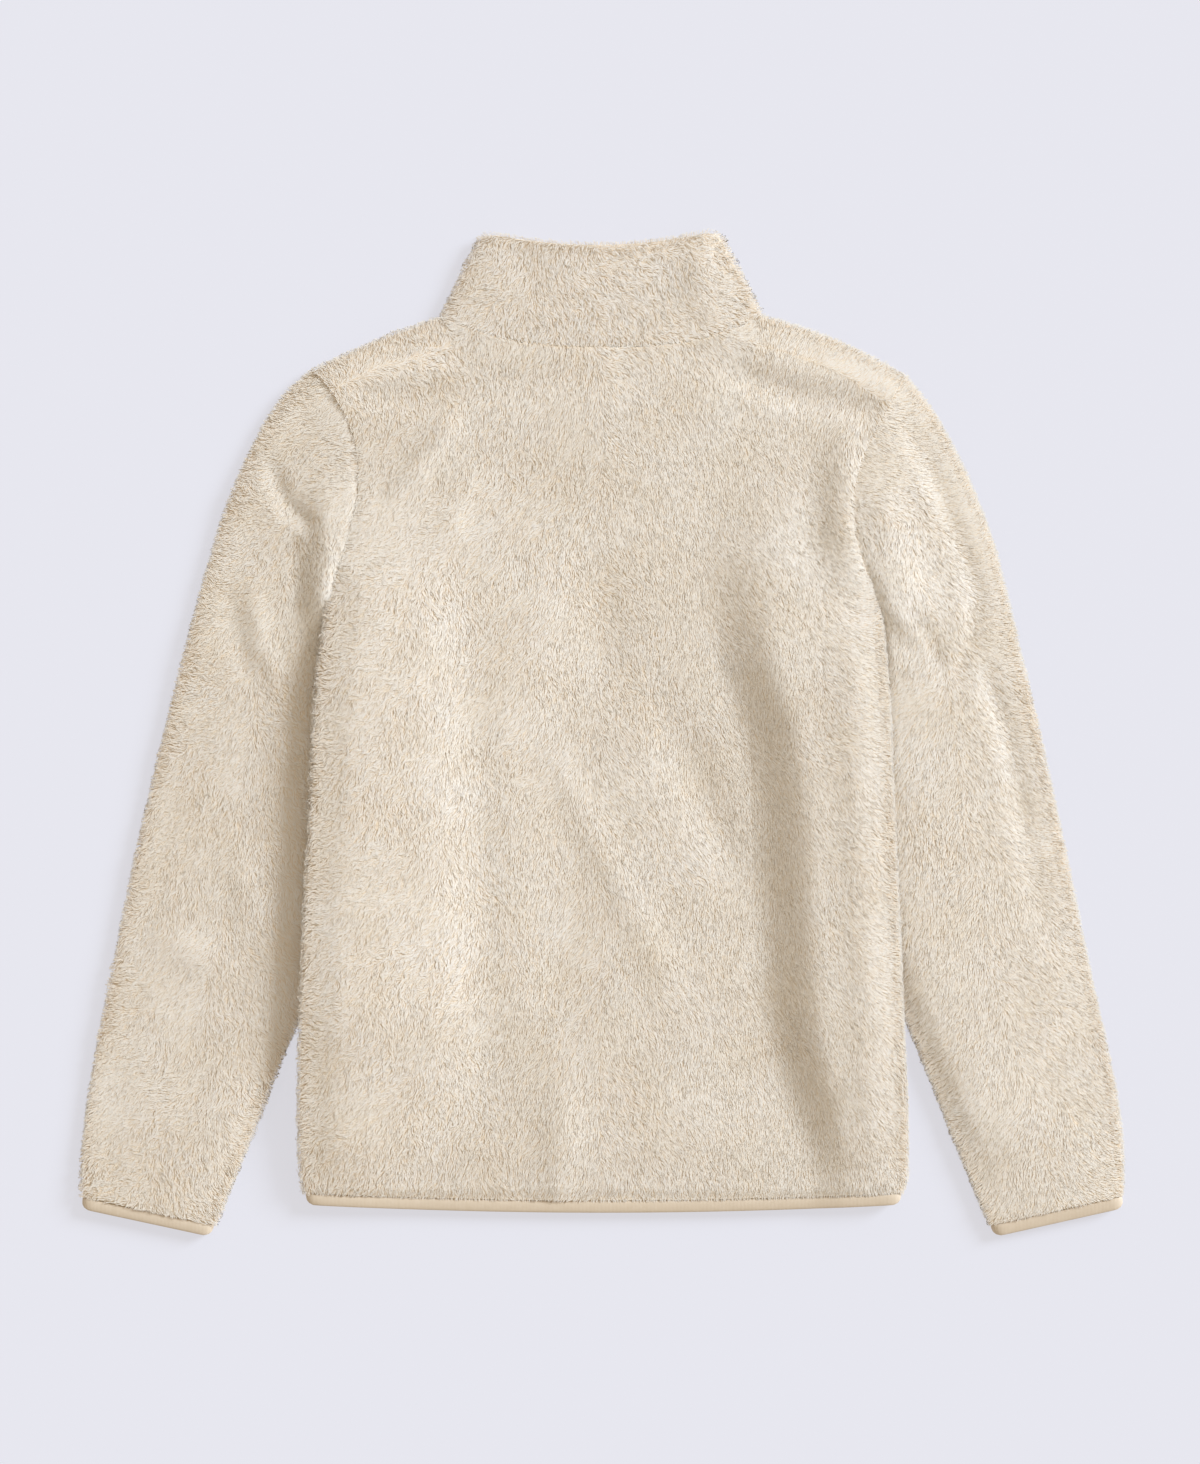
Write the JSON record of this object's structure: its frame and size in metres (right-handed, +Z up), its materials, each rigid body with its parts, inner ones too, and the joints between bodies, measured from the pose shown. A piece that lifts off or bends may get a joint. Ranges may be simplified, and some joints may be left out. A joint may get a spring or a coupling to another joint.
{
  "type": "sherpa fleece pullover",
  "caption": "Long-sleeved sherpa fleece pullover with a plain stand collar and bound hem and cuffs, laid flat on its front with the back up.",
  "frame": {"origin": "on the surface the pullover lies on, under the middle of its outline", "axes": "+X from the sleeve at the left of the view to the one at the right, +Y from the hem to the collar, +Z up, out of the back"},
  "size_m": [0.7538, 0.7241, 0.0289],
  "materials": {
    "fleece": "oatmeal long-pile sherpa fleece, soft sheen",
    "binding": "fine rib stretch binding"
  },
  "bodies": {
    "root": {"back_panel": "fleece", "front_panel": "fleece", "sleeve_left": "fleece", "sleeve_right": "fleece", "collar": "fleece", "hem_binding": "binding", "cuff_binding_left": "binding", "cuff_binding_right": "binding"}
  },
  "joints": []
}
